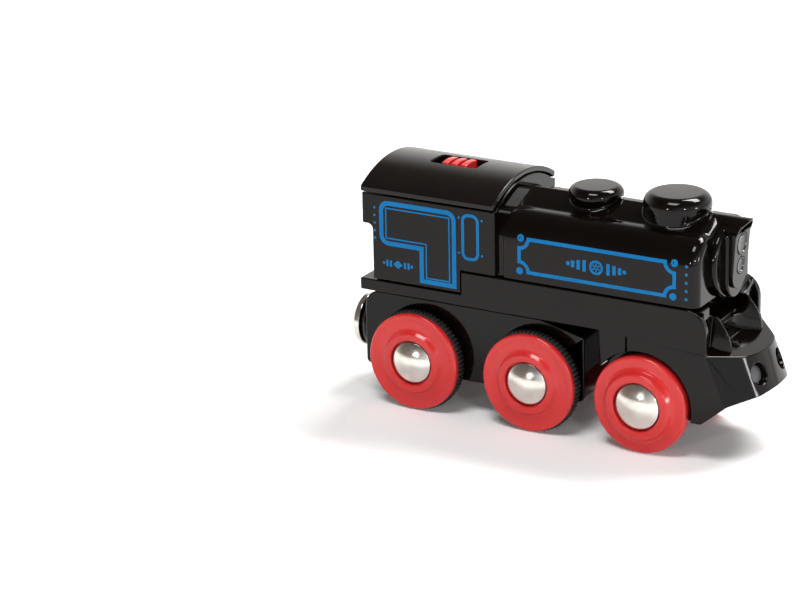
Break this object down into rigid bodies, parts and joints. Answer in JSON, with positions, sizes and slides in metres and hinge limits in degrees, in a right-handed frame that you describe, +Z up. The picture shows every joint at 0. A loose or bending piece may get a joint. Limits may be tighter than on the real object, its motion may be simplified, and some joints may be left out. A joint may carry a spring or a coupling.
{
  "type": "toy steam locomotive",
  "caption": "Battery-powered toy steam locomotive for wooden railways: moulded cab and boiler, plough, swivelling motor truck, rubber-tyred driven wheels and rear magnet coupling.",
  "frame": {"origin": "on the floor under the wheels, midway between the rear magnet's face and the plough's tip, on the centre line", "axes": "+X forwards, +Y to the locomotive's left, +Z up"},
  "size_m": [0.109, 0.036, 0.0582],
  "materials": {
    "black_gloss": "moulded, high gloss",
    "black_matt": "moulded, matt",
    "red": "moulded, semi-gloss",
    "tyre": "toothed soft rubber",
    "steel": "polished, nickel plated",
    "lamp_grey": "smoky clear lens over black",
    "blue_print": "pad-printed ink lining",
    "board": "solder-masked laminate",
    "battery_sleeve": "shrink sleeve over a steel can",
    "brass": "machined",
    "nylon": "natural nylon"
  },
  "bodies": {
    "frame": {"upper_shell": "black_gloss", "cab_roof": "black_gloss", "chassis_frame": "black_gloss", "smokebox_door": "black_gloss", "headlamp_housing": "black_gloss", "headlamp_visor": "black_gloss", "headlamp_lens_upper": "lamp_grey", "headlamp_lens_lower": "lamp_grey", "steam_dome": "black_gloss", "chimney": "black_gloss", "nose_fin_left": "black_gloss", "plough_stud_left": "black_matt", "nose_fin_right": "black_gloss", "plough_stud_right": "black_matt", "frame_screw_1": "steel", "frame_screw_2": "steel", "battery_cradle": "black_matt", "battery_cell": "battery_sleeve", "circuit_board": "board", "charging_socket": "steel", "charging_light": "lamp_grey", "switch_housing": "black_matt", "truck_pivot_screw": "steel"},
    "switch": {"switch_slider": "red"},
    "truck": {"truck_housing": "black_gloss", "truck_cover": "black_matt", "motor_case": "steel", "magnet_holder": "black_gloss", "coupling_magnet": "black_matt", "magnet_cap": "steel"},
    "rotor": {"motor_shaft": "steel", "worm_rear": "brass", "worm_middle": "brass"},
    "rear_wheelset": {"rear_axle": "steel", "rear_axle_gear": "nylon", "rear_wheel_left": "red", "rear_hub_cap_left": "steel", "rear_tyre_left": "tyre", "rear_wheel_right": "red", "rear_hub_cap_right": "steel", "rear_tyre_right": "tyre"},
    "middle_wheelset": {"middle_axle": "steel", "middle_axle_gear": "nylon", "middle_wheel_left": "red", "middle_hub_cap_left": "steel", "middle_tyre_left": "tyre", "middle_wheel_right": "red", "middle_hub_cap_right": "steel", "middle_tyre_right": "tyre"},
    "front_wheelset": {"front_axle": "steel", "front_wheel_left": "red", "front_hub_cap_left": "steel", "front_wheel_right": "red", "front_hub_cap_right": "steel"}
  },
  "joints": [
    {"name": "switch_slide", "type": "slide", "parent": "frame", "child": "switch", "axis": [1, 0, 0], "range_m": [-0.0025, 0.0025]},
    {"name": "truck_swivel", "type": "hinge", "parent": "frame", "child": "truck", "pos_m": [-0.0167, 0, 0.027], "axis": [0, 0, 1], "range_deg": [-8, 8]},
    {"name": "rear_axle_spin", "type": "hinge", "parent": "truck", "child": "rear_wheelset", "pos_m": [-0.03195, 0, 0.012], "axis": [0, 1, 0], "continuous": true},
    {"name": "middle_axle_spin", "type": "hinge", "parent": "truck", "child": "middle_wheelset", "pos_m": [-0.00145, 0, 0.012], "axis": [0, 1, 0], "continuous": true},
    {"name": "motor_spin", "type": "hinge", "parent": "truck", "child": "rotor", "pos_m": [-0.0167, 0, 0.0184], "axis": [1, 0, 0], "continuous": true},
    {"name": "front_axle_spin", "type": "hinge", "parent": "frame", "child": "front_wheelset", "pos_m": [0.02695, 0, 0.01156], "axis": [0, 1, 0], "continuous": true}
  ],
  "couplings": [
    {"joint": "middle_axle_spin", "follows": "rear_axle_spin", "ratio": 1},
    {"joint": "motor_spin", "follows": "rear_axle_spin", "ratio": 16}
  ]
}
